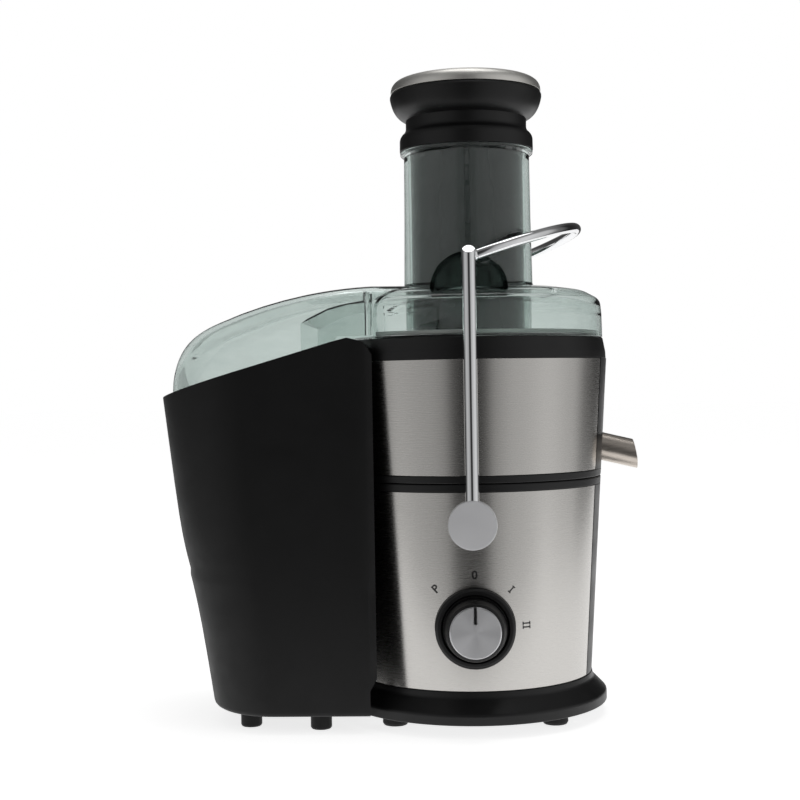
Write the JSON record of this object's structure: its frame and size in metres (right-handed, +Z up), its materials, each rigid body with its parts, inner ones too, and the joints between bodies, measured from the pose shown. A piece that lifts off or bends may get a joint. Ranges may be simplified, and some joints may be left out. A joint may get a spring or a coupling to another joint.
{
  "type": "centrifugal juicer",
  "caption": "Whole-fruit centrifugal juicer: steel-clad motor drum, smoky clear lid with feed tube and pulp chute, pusher, juice spout, swing-over bail, rotary knob and pulp container.",
  "frame": {"origin": "on the surface it stands on, under the middle of the whole machine's plan outline", "axes": "+Z up along the drive axis, +X towards the juice spout, -Y towards the control knob"},
  "size_m": [0.3004, 0.196, 0.404],
  "materials": {
    "housing_black": "satin moulded black plastic",
    "container_black": "fine matte moulded black plastic",
    "brushed_steel": "stainless sheet brushed round the drum",
    "spout_steel": "satin stainless tube",
    "bright_chrome": "polished",
    "disc_grey": "satin",
    "knob_metal": "spun, bright bevelled rim",
    "smoky_clear": "clear with a smoky green tint",
    "pusher_grey": "dark grey, satin",
    "foot_rubber": "matt",
    "clear_silicone": "translucent",
    "inner_moulding": "plain moulding",
    "bare_steel": "bright steel",
    "laminated_iron": "stacked laminations",
    "copper_wire": "enamelled copper",
    "brush_brass": "drawn brass",
    "bracket_zinc": "die-cast",
    "circuit_board": "solder mask",
    "cap_metal": "satin, warm grey"
  },
  "bodies": {
    "housing": {"base_shell": "housing_black", "base_plate": "inner_moulding", "base_foot_front_left": "foot_rubber", "base_foot_front_right": "foot_rubber", "base_foot_rear_left": "foot_rubber", "base_foot_rear_right": "foot_rubber", "plate_screw_front_left": "bare_steel", "plate_screw_front_right": "bare_steel", "plate_screw_rear_left": "bare_steel", "plate_screw_rear_right": "bare_steel", "lower_steel_panel": "brushed_steel", "cord_gland": "foot_rubber", "escutcheon": "housing_black", "rotary_switch": "inner_moulding", "motor_stator": "laminated_iron", "field_winding_front": "copper_wire", "field_winding_rear": "copper_wire", "motor_bracket_lower": "bracket_zinc", "motor_bracket_upper": "bracket_zinc", "bearing_lower": "bare_steel", "bearing_upper": "bare_steel", "motor_mount_left": "foot_rubber", "motor_mount_right": "foot_rubber", "brush_holder_left": "brush_brass", "brush_holder_right": "brush_brass", "speed_control_board": "circuit_board", "interlock_switch": "inner_moulding", "juice_collector": "housing_black", "bowl_floor": "housing_black", "upper_steel_panel": "brushed_steel", "spout": "spout_steel", "shaft_seal": "foot_rubber", "lid": "smoky_clear", "feed_tube": "smoky_clear", "lid_gasket": "clear_silicone"},
    "rotor": {"armature": "laminated_iron", "commutator": "copper_wire", "motor_shaft": "bare_steel", "cooling_fan": "inner_moulding", "drive_coupling": "inner_moulding", "basket_hub": "inner_moulding", "filter_basket": "bare_steel", "grater_disc": "bare_steel"},
    "knob": {"control_knob": "housing_black", "knob_face": "knob_metal", "knob_pointer": "housing_black", "switch_shaft": "bare_steel"},
    "bail": {"bail_arm_front": "bright_chrome", "bail_arm_rear": "bright_chrome", "bail_loop": "bright_chrome", "pivot_disc_front": "disc_grey", "pivot_disc_rear": "disc_grey", "pivot_pin_front": "bare_steel", "pivot_pin_rear": "bare_steel", "interlock_cam": "inner_moulding"},
    "plunger": {"interlock_plunger": "inner_moulding"},
    "pusher": {"pusher_body": "pusher_grey", "pusher_head": "housing_black", "pusher_cap": "cap_metal"},
    "container": {"pulp_container": "container_black"}
  },
  "joints": [
    {"name": "bail_swing", "type": "hinge", "parent": "housing", "child": "bail", "pos_m": [0.044, 0, 0.1272], "axis": [0, 1, 0], "range_deg": [0, 95]},
    {"name": "interlock_press", "type": "slide", "parent": "housing", "child": "plunger", "axis": [0, 0, 1], "range_m": [0, 0.0018]},
    {"name": "knob_turn", "type": "hinge", "parent": "housing", "child": "knob", "pos_m": [0.0447, -0.09, 0.0646], "axis": [0, 1, 0], "range_deg": [-45, 90]},
    {"name": "pusher_slide", "type": "slide", "parent": "housing", "child": "pusher", "axis": [0, 0, 1], "range_m": [0, 0.16]},
    {"name": "drive_spin", "type": "hinge", "parent": "housing", "child": "rotor", "pos_m": [0.044, 0, 0.19], "axis": [0, 0, 1], "continuous": true},
    {"name": "container_tilt", "type": "hinge", "parent": "housing", "child": "container", "pos_m": [-0.016, 0, 0.236], "axis": [0, 1, 0], "range_deg": [0, 10]}
  ],
  "couplings": [
    {"joint": "interlock_press", "follows": "bail_swing", "m_per_rad": 0.001}
  ]
}
